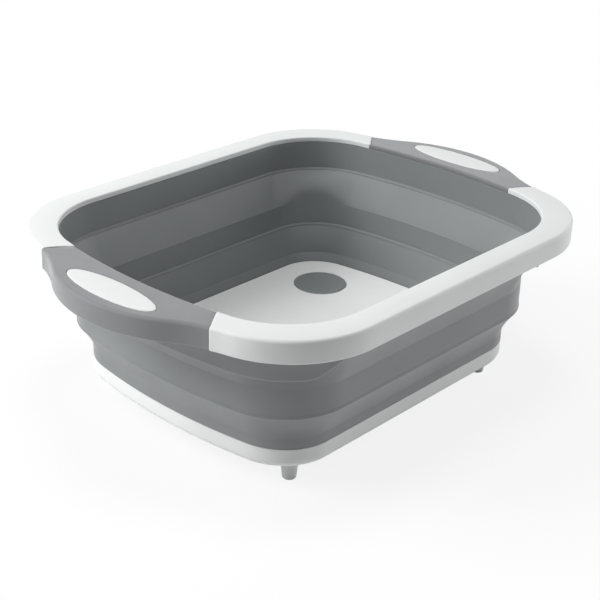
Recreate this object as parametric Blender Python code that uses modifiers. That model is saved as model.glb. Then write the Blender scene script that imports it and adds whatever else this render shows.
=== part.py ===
"""Collapsible wash basin with a chopping-board base, built as separate solids.

The origin is on the floor, under the middle of the basin. +X points to the
handle nearest the drain, +Z is up, and lengths are in metres. The model stands
expanded. Insets are measured inwards from the edge of the opening, seen from
above, and every ring of the wall keeps one inset all round.
"""

import math

import bmesh
import bpy
import numpy as np

MM = 0.001

# Plan of the opening, and of the rim frame that borders it
OPENING_LENGTH = 296.4 * MM
OPENING_WIDTH = 242.3 * MM
OPENING_CORNER_RADIUS = 58.4 * MM
OPENING_END_RADIUS = 443.0 * MM
HANDLE_REACH = 39.8 * MM
RIM_SIDE_WIDTH = 18.35 * MM
RIM_CORNER_FROM_END = 55.4 * MM
RIM_CORNER_RADIUS = 66.9 * MM
HANDLE_RADIUS = 97.0 * MM
HANDLE_BLEND_RADIUS = 111.7 * MM

# Section of the rim frame
RIM_PLATE = 3.6 * MM
SKIRT_DEPTH = 15.0 * MM
SKIRT_WALL = 2.6 * MM
RIM_EDGE_RADIUS = 3.0 * MM

# Grips and the window pads that show through them
GRIP_SKIN = 1.4 * MM
GRIP_SEAM_HALF_WIDTH = 65.0 * MM
GRIP_SEAM_ANGLE = math.radians(32.0)
WINDOW_LENGTH = 78.0 * MM
WINDOW_WIDTH = 21.0 * MM
WINDOW_FROM_END = 19.5 * MM

# Heights of the wall's rings, from the rim down
UPPER_BAND_HEIGHT = 22.4 * MM
UPPER_LIP_DROP = 8.5 * MM
UPPER_FOLD_HEIGHT = 22.6 * MM
MIDDLE_BAND_HEIGHT = 19.6 * MM
LOWER_FOLD_HEIGHT = 20.0 * MM
COLLAR_HEIGHT = 9.8 * MM

# Walls and insets of the rings
UPPER_BAND_WALL = 2.4 * MM
BAND_FLANGE_WIDTH = 8.5 * MM
BAND_FLANGE_THICKNESS = 2.0 * MM
RIDGE_PROUD = 1.2 * MM
RIDGE_HEIGHT = 1.6 * MM
LIP_PROUD = 0.8 * MM
LIP_HEIGHT = 5.0 * MM
LIP_ROUND = 1.0 * MM
FOLD_WALL = 1.8 * MM
MIDDLE_BAND_INSET = 9.2 * MM
MIDDLE_BAND_WALL = 5.2 * MM
MIDDLE_BAND_ROUND = 1.2 * MM
COLLAR_INSET = 19.0 * MM
COLLAR_WALL = 6.6 * MM
COLLAR_TOP_WALL = 4.2 * MM
FOLD_SETBACK = 0.5 * MM

# Base board, its ribs and its feet
FLANGE_HEIGHT = 11.7 * MM
FLANGE_BOTTOM_RADIUS = 7.0 * MM
FLANGE_WALL = 9.4 * MM
BOARD_RISE = 3.7 * MM
BOARD_PLATE = 3.2 * MM
BOARD_EDGE_RADIUS = 0.8 * MM
RIB_THICKNESS = 1.8 * MM
RIB_PITCH = 34.0 * MM
RIB_RECESS = 1.5 * MM
FOOT_FROM_END = 30.2 * MM
FOOT_FROM_SIDE = 19.15 * MM
FOOT_HEIGHT = 14.0 * MM
FOOT_TOP_RADIUS = 6.2 * MM
FOOT_TIP_RADIUS = 4.7 * MM
FOOT_TIP_ROUND = 0.8 * MM
SPIGOT_RADIUS = 3.2 * MM
SPIGOT_LENGTH = 6.0 * MM
SOCKET_WALL = 3.6 * MM

# Drain and its plug
DRAIN_FROM_END = 49.2 * MM
DRAIN_FROM_SIDE = 47.45 * MM
PLUG_CAP_RADIUS = 20.0 * MM
PLUG_CAP_THICKNESS = 3.2 * MM
PLUG_RIM_WIDTH = 2.6 * MM
PLUG_EDGE_ROUND = 0.6 * MM
PLUG_DISH_DEPTH = 1.5 * MM
PLUG_STEM_RADIUS = 13.0 * MM
PLUG_STEM_LENGTH = 9.0 * MM
PLUG_STEM_TAPER = 0.8 * MM
PLUG_STEM_WALL = 3.4 * MM
DRAIN_BOSS_WALL = 3.2 * MM
DRAIN_BOSS_DEPTH = 10.0 * MM

# Gap left between two pieces that touch
CLEARANCE = 0.3 * MM

# How finely round stretches are divided
CORNER_STEPS = 9
END_STEPS = 3
HANDLE_STEPS = 6
BLEND_STEPS = 4
WINDOW_STEPS = 40
TURNED_STEPS = 40
FOOT_STEPS = 20
DISH_STEPS = 4
SHARP_ANGLE = math.radians(35.0)

# Heights above the floor, from the feet up
FLANGE_BOTTOM = FOOT_HEIGHT
FLANGE_TOP = FLANGE_BOTTOM + FLANGE_HEIGHT
BOARD_TOP = FLANGE_TOP + BOARD_RISE
PLATE_UNDERSIDE = BOARD_TOP - BOARD_PLATE
COLLAR_BOTTOM = FLANGE_TOP + CLEARANCE
COLLAR_TOP = COLLAR_BOTTOM + COLLAR_HEIGHT
MIDDLE_BOTTOM = COLLAR_TOP + LOWER_FOLD_HEIGHT
MIDDLE_TOP = MIDDLE_BOTTOM + MIDDLE_BAND_HEIGHT
RIDGE_BOTTOM = MIDDLE_TOP + UPPER_FOLD_HEIGHT
RIM_UNDERSIDE = RIDGE_BOTTOM + UPPER_BAND_HEIGHT
RIM_TOP = RIM_UNDERSIDE + RIM_PLATE
SKIRT_BOTTOM = RIM_TOP - SKIRT_DEPTH

# Half lengths and widths that follow from the opening
RIM_END_X = OPENING_LENGTH / 2 + HANDLE_REACH
RIM_SIDE_Y = OPENING_WIDTH / 2 + RIM_SIDE_WIDTH
BASE_END_X = OPENING_LENGTH / 2 - COLLAR_INSET
BASE_SIDE_Y = OPENING_WIDTH / 2 - COLLAR_INSET
DRAIN_X = BASE_END_X - DRAIN_FROM_END
DRAIN_Y = BASE_SIDE_Y - DRAIN_FROM_SIDE
WINDOW_X = RIM_END_X - WINDOW_FROM_END

# Insets of the faces that other pieces meet
COLLAR_INNER_INSET = COLLAR_INSET + COLLAR_WALL
BOARD_INSET = COLLAR_INNER_INSET + CLEARANCE
CAVITY_INSET = COLLAR_INSET + FLANGE_WALL
CORE_INSET = GRIP_SKIN + CLEARANCE
CORE_PLATE = RIM_PLATE - CORE_INSET
GRIP_HOLLOW_INSET = CORE_INSET + SKIRT_WALL

# How far a cutter runs past what it cuts
OVERRUN = 2.0 * MM
CORE_OVERLAP = 1.0 * MM
FAR = 100.0 * MM

WHITE = (0.80, 0.81, 0.81, 1.0)
LIGHT_GREY = (0.40, 0.42, 0.42, 1.0)
MID_GREY = (0.20, 0.21, 0.21, 1.0)


def arc(centre, radius, start, end, steps):
    """Points along an arc from the angle start to the angle end, both included."""
    angles = np.linspace(start, end, steps + 1)
    return np.array(centre) + radius * np.column_stack([np.cos(angles), np.sin(angles)])


def four_quarters(quarter):
    """A closed outline from its first quarter, which runs from the X axis to the Y axis."""
    half = np.vstack([quarter, quarter[::-1] * (-1.0, 1.0)])
    return np.vstack([half, half[1:-1][::-1] * (1.0, -1.0)])


def opening_outline(inset=0.0):
    """The opening: bowed short ends and straight long sides, joined by corner arcs."""
    end_centre_x = OPENING_LENGTH / 2 - OPENING_END_RADIUS
    corner_y = OPENING_WIDTH / 2 - OPENING_CORNER_RADIUS
    reach = OPENING_END_RADIUS - OPENING_CORNER_RADIUS
    corner_x = end_centre_x + math.sqrt(reach**2 - corner_y**2)
    turn = math.asin(corner_y / reach)
    end = arc((end_centre_x, 0.0), OPENING_END_RADIUS - inset, 0.0, turn, END_STEPS)
    corner = arc(
        (corner_x, corner_y), OPENING_CORNER_RADIUS - inset, turn, math.pi / 2, CORNER_STEPS
    )
    return four_quarters(np.vstack([end, corner[1:]]))


def rim_outline(inset=0.0):
    """The rim frame's outer edge: a handle arc, a hollow blend and a corner arc."""
    handle = np.array([RIM_END_X - HANDLE_RADIUS, 0.0])
    corner = np.array(
        [OPENING_LENGTH / 2 - RIM_CORNER_FROM_END, RIM_SIDE_Y - RIM_CORNER_RADIUS]
    )
    # The blend's centre lies where it touches both arcs from outside.
    to_handle = HANDLE_RADIUS + HANDLE_BLEND_RADIUS
    to_corner = RIM_CORNER_RADIUS + HANDLE_BLEND_RADIUS
    between = np.linalg.norm(corner - handle)
    along = (to_handle**2 - to_corner**2 + between**2) / (2 * between)
    aside = math.sqrt(to_handle**2 - along**2)
    direction = (corner - handle) / between
    blend = handle + along * direction + aside * np.array([direction[1], -direction[0]])
    handle_turn = math.atan2(*(blend - handle)[::-1])
    corner_turn = math.atan2(*(blend - corner)[::-1])
    quarter = np.vstack(
        [
            arc(handle, HANDLE_RADIUS - inset, 0.0, handle_turn, HANDLE_STEPS),
            arc(
                blend,
                HANDLE_BLEND_RADIUS + inset,
                handle_turn + math.pi,
                corner_turn + math.pi,
                BLEND_STEPS,
            )[1:],
            arc(corner, RIM_CORNER_RADIUS - inset, corner_turn, math.pi / 2, CORNER_STEPS)[1:],
        ]
    )
    return four_quarters(quarter)


def window_outline(side, growth=0.0):
    """The oval window of one handle; side is 1 at the +X handle and -1 at the other."""
    angles = np.linspace(0.0, 2 * math.pi, WINDOW_STEPS, endpoint=False)
    half_width = WINDOW_WIDTH / 2 + growth
    half_length = WINDOW_LENGTH / 2 + growth
    oval = np.column_stack([half_width * np.cos(angles), half_length * np.sin(angles)])
    return oval + (side * WINDOW_X, 0.0)


def grip_zone_outline(side, growth=0.0):
    """The wedge of the rim that a grip covers, between its two slanted seams."""
    seam_x = OPENING_LENGTH / 2 - OPENING_END_RADIUS + math.sqrt(
        OPENING_END_RADIUS**2 - GRIP_SEAM_HALF_WIDTH**2
    )
    shift = growth / math.cos(GRIP_SEAM_ANGLE)
    slope = math.tan(GRIP_SEAM_ANGLE)
    near_x = OPENING_LENGTH / 2 - OPENING_CORNER_RADIUS
    far_x = RIM_END_X + FAR
    near_y = GRIP_SEAM_HALF_WIDTH + (near_x - seam_x) * slope + shift
    far_y = GRIP_SEAM_HALF_WIDTH + (far_x - seam_x) * slope + shift
    wedge = np.array([(near_x, -near_y), (far_x, -far_y), (far_x, far_y), (near_x, near_y)])
    return wedge if side > 0 else (wedge * (-1.0, 1.0))[::-1]


def clear_scene():
    """Removes what the scene holds, so that the model starts from nothing."""
    for obj in list(bpy.data.objects):
        bpy.data.objects.remove(obj, do_unlink=True)


def new_collection(name):
    """A collection linked to the scene."""
    collection = bpy.data.collections.new(name)
    bpy.context.scene.collection.children.link(collection)
    return collection


def new_material(name, colour, roughness):
    """A plastic or rubber material of one colour."""
    material = bpy.data.materials.new(name)
    material.use_nodes = True
    shader = material.node_tree.nodes["Principled BSDF"]
    shader.inputs["Base Color"].default_value = colour
    shader.inputs["Roughness"].default_value = roughness
    shader.inputs["Metallic"].default_value = 0.0
    material.diffuse_color = colour
    return material


def poly_spline(curve, points):
    """Adds a closed spline with straight segments through points to a curve."""
    spline = curve.splines.new("POLY")
    spline.points.add(len(points) - 1)
    for point, place in zip(spline.points, points):
        point.co = (place[0], place[1], 0.0, 1.0)
    spline.use_cyclic_u = True


def mesh_from_curve(name, curve, height, collection):
    """A welded mesh object from a curve, which is removed."""
    guide = bpy.data.objects.new(name + "_guide", curve)
    guide.location.z = height
    collection.objects.link(guide)
    graph = bpy.context.evaluated_depsgraph_get()
    mesh = bpy.data.meshes.new_from_object(guide.evaluated_get(graph))
    mesh.transform(guide.matrix_world)
    mesh.name = name
    bpy.data.objects.remove(guide, do_unlink=True)
    shape = bmesh.new()
    shape.from_mesh(mesh)
    bmesh.ops.remove_doubles(shape, verts=shape.verts, dist=0.001 * MM)
    bmesh.ops.recalc_face_normals(shape, faces=shape.faces)
    shape.to_mesh(mesh)
    shape.free()
    obj = bpy.data.objects.new(name, mesh)
    collection.objects.link(obj)
    return obj


def plate(name, outline, low, high, collection):
    """A flat plate between two heights, with a single face on its top and bottom."""
    curve = bpy.data.curves.new(name, "CURVE")
    curve.dimensions = "2D"
    curve.fill_mode = "BOTH"
    curve.extrude = (high - low) / 2
    poly_spline(curve, outline)
    obj = mesh_from_curve(name, curve, (high + low) / 2, collection)
    shape = bmesh.new()
    shape.from_mesh(obj.data)
    flat = [edge for edge in shape.edges if all(abs(f.normal.z) > 0.9 for f in edge.link_faces)]
    bmesh.ops.dissolve_edges(shape, edges=flat)
    shape.to_mesh(obj.data)
    shape.free()
    return obj


def frame_plate(name, outer_inset, opening_inset, low, high, collection, cutters, edge_radius=0.0):
    """A plate with the rim's outline and the basin's opening cut through it."""
    obj = plate(name, rim_outline(outer_inset), low, high, collection)
    if edge_radius:
        round_edge(obj, high, edge_radius)
    opening = plate(
        name + "_opening", opening_outline(opening_inset), low - OVERRUN, high + OVERRUN, cutters
    )
    boolean(obj, "DIFFERENCE", opening)
    return obj


def ring(name, profile, collection):
    """A ring of the wall: a section carried round the opening.

    profile lists (inset, height) pairs round the closed section.
    """
    section = bpy.data.curves.new(name + "_section", "CURVE")
    section.dimensions = "2D"
    # The path runs anticlockwise, so a section's X points outwards.
    poly_spline(section, [(-inset, height) for inset, height in profile])
    section_object = bpy.data.objects.new(name + "_section", section)
    collection.objects.link(section_object)
    path = bpy.data.curves.new(name, "CURVE")
    path.dimensions = "3D"
    path.twist_mode = "Z_UP"
    path.bevel_mode = "OBJECT"
    path.bevel_object = section_object
    poly_spline(path, opening_outline())
    obj = mesh_from_curve(name, path, 0.0, collection)
    bpy.data.objects.remove(section_object, do_unlink=True)
    return obj


def turned(name, profile, steps, collection):
    """A turned piece about its own Z axis, from (radius, height) pairs, top to bottom."""
    mesh = bpy.data.meshes.new(name)
    points = [(radius, 0.0, height) for radius, height in profile]
    mesh.from_pydata(points, [(i, i + 1) for i in range(len(points) - 1)], [])
    obj = bpy.data.objects.new(name, mesh)
    collection.objects.link(obj)
    screw = obj.modifiers.new("turn", "SCREW")
    screw.steps = steps
    screw.render_steps = steps
    screw.use_merge_vertices = True
    screw.merge_threshold = 0.01 * MM
    return obj


def cylinder(name, radius, low, high, place, collection):
    """An upright cylinder, with its size in its mesh."""
    mesh = bpy.data.meshes.new(name)
    shape = bmesh.new()
    bmesh.ops.create_cone(
        shape,
        cap_ends=True,
        segments=TURNED_STEPS,
        radius1=radius,
        radius2=radius,
        depth=high - low,
    )
    shape.to_mesh(mesh)
    shape.free()
    obj = bpy.data.objects.new(name, mesh)
    obj.location = (place[0], place[1], (low + high) / 2)
    collection.objects.link(obj)
    return obj


def boolean(obj, operation, other):
    """Cuts, joins or intersects obj with another object, as a live modifier."""
    modifier = obj.modifiers.new(operation.lower(), "BOOLEAN")
    modifier.operation = operation
    modifier.solver = "EXACT"
    modifier.object = other
    other.hide_render = True
    other.display_type = "WIRE"


def round_edge(obj, height, radius, segments=3):
    """Rounds the edge of a plate all round at one height."""
    mesh = obj.data
    mesh.attributes.new("bevel_weight_edge", "FLOAT", "EDGE")
    shape = bmesh.new()
    shape.from_mesh(mesh)
    layer = shape.edges.layers.float["bevel_weight_edge"]
    for edge in shape.edges:
        if all(abs(vert.co.z - height) < 0.01 * MM for vert in edge.verts):
            edge[layer] = 1.0
    shape.to_mesh(mesh)
    shape.free()
    modifier = obj.modifiers.new("round", "BEVEL")
    modifier.limit_method = "WEIGHT"
    modifier.width = radius
    modifier.segments = segments
    # The edge's short steps round the corners would otherwise limit the width.
    modifier.use_clamp_overlap = False


def smooth(obj):
    """Shades the round faces of a piece smooth and keeps its edges sharp."""
    obj.data.shade_smooth()
    obj.data.set_sharp_from_angle(angle=SHARP_ANGLE)


def make_rim_frame(name, parts, cutters, material):
    """The white rim: a channel section with a core in each handle for the grips."""
    frame = frame_plate(
        name, 0.0, 0.0, SKIRT_BOTTOM, RIM_TOP, parts, cutters, edge_radius=RIM_EDGE_RADIUS
    )
    low = SKIRT_BOTTOM - OVERRUN
    hollow = plate(name + "_hollow", rim_outline(SKIRT_WALL), low, RIM_UNDERSIDE, cutters)
    boolean(frame, "DIFFERENCE", hollow)
    for side, word in ((1, "right"), (-1, "left")):
        zone = plate(
            f"{name}_zone_{word}", grip_zone_outline(side), low, RIM_TOP + OVERRUN, cutters
        )
        boolean(frame, "DIFFERENCE", zone)
    for side, word in ((1, "right"), (-1, "left")):
        boolean(frame, "UNION", make_grip_core(f"{name}_core_{word}", side, cutters))
        pad = plate(
            f"{name}_pad_{word}",
            window_outline(side),
            RIM_UNDERSIDE + CORE_PLATE / 2,
            RIM_TOP,
            cutters,
        )
        boolean(frame, "UNION", pad)
    frame.data.materials.append(material)
    smooth(frame)
    return frame


def make_grip_core(name, side, cutters):
    """The part of the frame inside one grip, set in by the grip's thickness."""
    core = frame_plate(
        name,
        CORE_INSET,
        -CORE_INSET,
        SKIRT_BOTTOM + CORE_INSET,
        RIM_TOP - CORE_INSET,
        cutters,
        cutters,
        edge_radius=RIM_EDGE_RADIUS - CORE_INSET,
    )
    low = SKIRT_BOTTOM - OVERRUN
    hollow = plate(name + "_hollow", rim_outline(GRIP_HOLLOW_INSET), low, RIM_UNDERSIDE, cutters)
    boolean(core, "DIFFERENCE", hollow)
    zone = plate(
        name + "_zone", grip_zone_outline(side, CORE_OVERLAP), low, RIM_TOP + OVERRUN, cutters
    )
    boolean(core, "INTERSECT", zone)
    return core


def make_grip(name, side, parts, cutters, material):
    """A soft grip: a skin over the top, the skirt and the inner edge of one handle."""
    grip = frame_plate(
        name, 0.0, 0.0, SKIRT_BOTTOM, RIM_TOP, parts, cutters, edge_radius=RIM_EDGE_RADIUS
    )
    low = SKIRT_BOTTOM - OVERRUN
    zone = plate(
        name + "_zone", grip_zone_outline(side, -CLEARANCE), low, RIM_TOP + OVERRUN, cutters
    )
    boolean(grip, "INTERSECT", zone)
    core_space = frame_plate(
        name + "_core_space",
        GRIP_SKIN,
        -GRIP_SKIN,
        SKIRT_BOTTOM + GRIP_SKIN,
        RIM_TOP - GRIP_SKIN,
        cutters,
        cutters,
        edge_radius=RIM_EDGE_RADIUS - GRIP_SKIN,
    )
    boolean(grip, "DIFFERENCE", core_space)
    hollow = plate(name + "_hollow", rim_outline(GRIP_HOLLOW_INSET), low, RIM_UNDERSIDE, cutters)
    boolean(grip, "DIFFERENCE", hollow)
    window = plate(
        name + "_window", window_outline(side, CLEARANCE), SKIRT_BOTTOM, RIM_TOP + OVERRUN, cutters
    )
    boolean(grip, "DIFFERENCE", window)
    grip.data.materials.append(material)
    smooth(grip)
    return grip


def make_upper_band(name, parts, material):
    """The fixed ring under the rim: a flange, a wall, an inner ridge and an outer lip."""
    top = RIM_UNDERSIDE - CLEARANCE
    lip_bottom = RIDGE_BOTTOM - UPPER_LIP_DROP
    outer = -UPPER_BAND_WALL
    band = ring(
        name,
        [
            (0.0, top),
            (-BAND_FLANGE_WIDTH, top),
            (-BAND_FLANGE_WIDTH, top - BAND_FLANGE_THICKNESS),
            (outer, top - BAND_FLANGE_THICKNESS),
            (outer, lip_bottom + LIP_HEIGHT),
            (outer - LIP_PROUD, lip_bottom + LIP_HEIGHT / 2),
            (outer - LIP_PROUD, lip_bottom + LIP_ROUND),
            (outer + LIP_PROUD, lip_bottom),
            (-CLEARANCE, lip_bottom),
            (-CLEARANCE, RIDGE_BOTTOM),
            (RIDGE_PROUD, RIDGE_BOTTOM),
            (RIDGE_PROUD, RIDGE_BOTTOM + RIDGE_HEIGHT / 2),
            (0.0, RIDGE_BOTTOM + RIDGE_HEIGHT),
        ],
        parts,
    )
    band.data.materials.append(material)
    smooth(band)
    return band


def make_fold(name, top, bottom, top_inset, bottom_inset, parts, material):
    """A slanted ring that turns inside out; insets are those of its outer face."""
    high = top - CLEARANCE
    low = bottom + CLEARANCE
    fold = ring(
        name,
        [
            (top_inset, high),
            (bottom_inset, low),
            (bottom_inset + FOLD_WALL, low),
            (top_inset + FOLD_WALL, high),
        ],
        parts,
    )
    fold.data.materials.append(material)
    smooth(fold)
    return fold


def make_middle_band(name, parts, material):
    """The stiff ring between the two folds, with a ridge along its inner foot."""
    outer = MIDDLE_BAND_INSET
    inner = MIDDLE_BAND_INSET + MIDDLE_BAND_WALL
    band = ring(
        name,
        [
            (outer, MIDDLE_BOTTOM),
            (outer, MIDDLE_TOP - MIDDLE_BAND_ROUND),
            (outer + MIDDLE_BAND_ROUND, MIDDLE_TOP),
            (inner - MIDDLE_BAND_ROUND, MIDDLE_TOP),
            (inner, MIDDLE_TOP - MIDDLE_BAND_ROUND),
            (inner, MIDDLE_BOTTOM + RIDGE_HEIGHT),
            (inner + RIDGE_PROUD, MIDDLE_BOTTOM + RIDGE_HEIGHT / 2),
            (inner + RIDGE_PROUD, MIDDLE_BOTTOM),
        ],
        parts,
    )
    band.data.materials.append(material)
    smooth(band)
    return band


def make_lower_collar(name, parts, material):
    """The ring moulded round the board's edge; its inner face slants to the board."""
    inner_top = COLLAR_INSET + COLLAR_TOP_WALL
    collar = ring(
        name,
        [
            (COLLAR_INSET, COLLAR_BOTTOM),
            (COLLAR_INSET, COLLAR_TOP),
            (inner_top, COLLAR_TOP),
            (COLLAR_INNER_INSET, BOARD_TOP),
            (COLLAR_INNER_INSET, COLLAR_BOTTOM),
        ],
        parts,
    )
    collar.data.materials.append(material)
    smooth(collar)
    return collar


def parallel_ribs(name, along_x, cutters):
    """Upright ribs at one pitch, centred, as separate boxes in one mesh."""
    length, width = (OPENING_LENGTH, OPENING_WIDTH)[:: 1 if along_x else -1]
    reach = width / 2 - CAVITY_INSET
    count = int((reach - RIB_THICKNESS) / RIB_PITCH + 0.5)
    low = FLANGE_BOTTOM + RIB_RECESS
    high = PLATE_UNDERSIDE + OVERRUN
    shape = bmesh.new()
    for number in range(-count, count):
        place = (number + 0.5) * RIB_PITCH
        cube = bmesh.ops.create_cube(shape, size=1.0)["verts"]
        size = (length, RIB_THICKNESS, high - low)
        centre = (0.0, place, (high + low) / 2)
        if not along_x:
            size = (size[1], size[0], size[2])
            centre = (centre[1], centre[0], centre[2])
        bmesh.ops.scale(shape, vec=size, verts=cube)
        bmesh.ops.translate(shape, vec=centre, verts=cube)
    mesh = bpy.data.meshes.new(name)
    shape.to_mesh(mesh)
    shape.free()
    ribs = bpy.data.objects.new(name, mesh)
    cutters.objects.link(ribs)
    return ribs


def foot_places():
    """The four corners of the rectangle that the feet stand on, with their words."""
    x = BASE_END_X - FOOT_FROM_END
    y = BASE_SIDE_Y - FOOT_FROM_SIDE
    return {
        "front_left": (-x, -y),
        "front_right": (x, -y),
        "back_right": (x, y),
        "back_left": (-x, y),
    }


def make_cavity(name, cutters):
    """The space under the board, less its ribs, the foot bosses and the drain boss."""
    low = FLANGE_BOTTOM - OVERRUN
    cavity = plate(name, opening_outline(CAVITY_INSET), low, PLATE_UNDERSIDE, cutters)
    boolean(cavity, "DIFFERENCE", parallel_ribs(name + "_long_ribs", True, cutters))
    boolean(cavity, "DIFFERENCE", parallel_ribs(name + "_cross_ribs", False, cutters))
    high = PLATE_UNDERSIDE + OVERRUN
    boss_radius = SPIGOT_RADIUS + CLEARANCE + SOCKET_WALL
    for word, place in foot_places().items():
        boss = cylinder(
            f"{name}_boss_{word}", boss_radius, low - OVERRUN, high, place, cutters
        )
        boolean(cavity, "DIFFERENCE", boss)
    drain_boss = cylinder(
        name + "_drain_boss",
        PLUG_CAP_RADIUS + CLEARANCE + DRAIN_BOSS_WALL,
        PLATE_UNDERSIDE - DRAIN_BOSS_DEPTH,
        high,
        (DRAIN_X, DRAIN_Y),
        cutters,
    )
    boolean(cavity, "DIFFERENCE", drain_boss)
    return cavity


def make_base_board(name, parts, cutters, material):
    """The white tray: a flat board, a rounded flange, ribs, sockets and the drain seat."""
    base = plate(name, opening_outline(COLLAR_INSET), FLANGE_BOTTOM, FLANGE_TOP, parts)
    round_edge(base, FLANGE_BOTTOM, FLANGE_BOTTOM_RADIUS, segments=4)
    board = plate(
        name + "_board",
        opening_outline(BOARD_INSET),
        FLANGE_TOP - OVERRUN,
        BOARD_TOP,
        cutters,
    )
    round_edge(board, BOARD_TOP, BOARD_EDGE_RADIUS, segments=2)
    boolean(base, "UNION", board)
    boolean(base, "DIFFERENCE", make_cavity(name + "_cavity", cutters))
    low = FLANGE_BOTTOM - OVERRUN
    socket_radius = SPIGOT_RADIUS + CLEARANCE
    socket_top = FLANGE_BOTTOM + SPIGOT_LENGTH + CLEARANCE
    for word, place in foot_places().items():
        socket = cylinder(
            f"{name}_socket_{word}", socket_radius, low, socket_top, place, cutters
        )
        boolean(base, "DIFFERENCE", socket)
    drain = (DRAIN_X, DRAIN_Y)
    recess_radius = PLUG_CAP_RADIUS + CLEARANCE
    recess_floor = BOARD_TOP - PLUG_CAP_THICKNESS - CLEARANCE
    above = BOARD_TOP + OVERRUN
    recess = cylinder(name + "_recess", recess_radius, recess_floor, above, drain, cutters)
    boolean(base, "DIFFERENCE", recess)
    bore_radius = PLUG_STEM_RADIUS + CLEARANCE
    bore = cylinder(name + "_bore", bore_radius, low, above, drain, cutters)
    boolean(base, "DIFFERENCE", bore)
    base.data.materials.append(material)
    smooth(base)
    return base


def make_foot(name, place, parts, material):
    """A tapered peg with a spigot that plugs into its socket in the base."""
    shoulder = FLANGE_BOTTOM - CLEARANCE
    spigot_top = FLANGE_BOTTOM + SPIGOT_LENGTH
    foot = turned(
        name,
        [
            (0.0, spigot_top),
            (SPIGOT_RADIUS, spigot_top),
            (SPIGOT_RADIUS, shoulder),
            (FOOT_TOP_RADIUS, shoulder),
            (FOOT_TIP_RADIUS, FOOT_TIP_ROUND),
            (FOOT_TIP_RADIUS - FOOT_TIP_ROUND, 0.0),
            (0.0, 0.0),
        ],
        FOOT_STEPS,
        parts,
    )
    foot.location = (place[0], place[1], 0.0)
    foot.data.materials.append(material)
    smooth(foot)
    return foot


def make_drain_plug(name, parts, material):
    """The soft plug: a dished cap over a hollow stem, about its own axis."""
    cap_underside = -PLUG_CAP_THICKNESS
    stem_bottom = cap_underside - PLUG_STEM_LENGTH
    stem_tip = PLUG_STEM_RADIUS - PLUG_STEM_TAPER
    dish_radius = PLUG_CAP_RADIUS - PLUG_RIM_WIDTH
    dish = [
        (dish_radius * share, -PLUG_DISH_DEPTH * (1 - share**2))
        for share in np.linspace(0.0, 1.0, DISH_STEPS + 1)
    ]
    plug = turned(
        name,
        dish
        + [
            (PLUG_CAP_RADIUS - PLUG_EDGE_ROUND, 0.0),
            (PLUG_CAP_RADIUS, -PLUG_EDGE_ROUND),
            (PLUG_CAP_RADIUS, cap_underside),
            (PLUG_STEM_RADIUS, cap_underside),
            (stem_tip, stem_bottom),
            (stem_tip - PLUG_STEM_WALL, stem_bottom),
            (stem_tip - PLUG_STEM_WALL, cap_underside),
            (0.0, cap_underside),
        ],
        TURNED_STEPS,
        parts,
    )
    plug.data.materials.append(material)
    smooth(plug)
    return plug


def carrier(name, place, collection, parent=None):
    """An empty on the line that its body slides along."""
    empty = bpy.data.objects.new(name, None)
    empty.empty_display_size = 20 * MM
    collection.objects.link(empty)
    empty.parent = parent
    above = parent.matrix_world.translation if parent else (0.0, 0.0, 0.0)
    empty.location = [a - b for a, b in zip(place, above)]
    bpy.context.view_layer.update()
    return empty


def carry(empty, *pieces):
    """Parents pieces to an empty and leaves them where they stand."""
    for piece in pieces:
        piece.parent = empty
        piece.location = [a - b for a, b in zip(piece.location, empty.matrix_world.translation)]


def main():
    """Builds the basin and groups its pieces by what they move with."""
    clear_scene()
    parts = new_collection("collapsible_wash_basin")
    cutters = new_collection("cutters")
    cutters.hide_render = True
    white = new_material("white_polypropylene", WHITE, 0.45)
    soft_grey = new_material("grey_soft_wall", MID_GREY, 0.6)
    grip_grey = new_material("grey_soft_grip", LIGHT_GREY, 0.55)

    rim_frame = make_rim_frame("rim_frame", parts, cutters, white)
    grip_right = make_grip("grip_right", 1, parts, cutters, grip_grey)
    grip_left = make_grip("grip_left", -1, parts, cutters, grip_grey)
    upper_band = make_upper_band("upper_band", parts, soft_grey)
    upper_fold = make_fold(
        "upper_fold",
        RIDGE_BOTTOM,
        MIDDLE_TOP,
        0.0,
        MIDDLE_BAND_INSET + FOLD_SETBACK,
        parts,
        soft_grey,
    )
    middle_band = make_middle_band("middle_band", parts, soft_grey)
    lower_fold = make_fold(
        "lower_fold",
        MIDDLE_BOTTOM,
        COLLAR_TOP,
        MIDDLE_BAND_INSET + (MIDDLE_BAND_WALL - FOLD_WALL) / 2,
        COLLAR_INSET + FOLD_SETBACK,
        parts,
        soft_grey,
    )
    lower_collar = make_lower_collar("lower_collar", parts, soft_grey)
    base_board = make_base_board("base_board", parts, cutters, white)
    feet = [
        make_foot("foot_" + word, place, parts, white) for word, place in foot_places().items()
    ]
    drain_plug = make_drain_plug("drain_plug", parts, grip_grey)
    drain_plug.location = (DRAIN_X, DRAIN_Y, BOARD_TOP)

    base_carrier = carrier("base_carrier", (0.0, 0.0, 0.0), parts)
    middle_carrier = carrier("middle_carrier", (0.0, 0.0, COLLAR_TOP), parts, base_carrier)
    rim_carrier = carrier("rim_carrier", (0.0, 0.0, MIDDLE_TOP), parts, middle_carrier)
    plug_carrier = carrier("plug_carrier", (DRAIN_X, DRAIN_Y, BOARD_TOP), parts, base_carrier)
    carry(base_carrier, base_board, lower_collar, *feet)
    carry(middle_carrier, middle_band, lower_fold)
    carry(rim_carrier, rim_frame, grip_left, grip_right, upper_band, upper_fold)
    carry(plug_carrier, drain_plug)


main()
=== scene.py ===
"""Looks of a collapsible wash basin whose base is a chopping board.

Every visible surface is worked out on a grid: a section, given as insets and
heights, is carried round one of two plans, that of the basin's opening and that
of the rim's outer edge. Lengths are in metres, the origin is on the floor under
the middle of the basin, +X points to the handle nearest the drain and +Z is up.
"""

import logging
import math
from dataclasses import dataclass, field
from enum import Enum
from typing import Sequence

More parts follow.
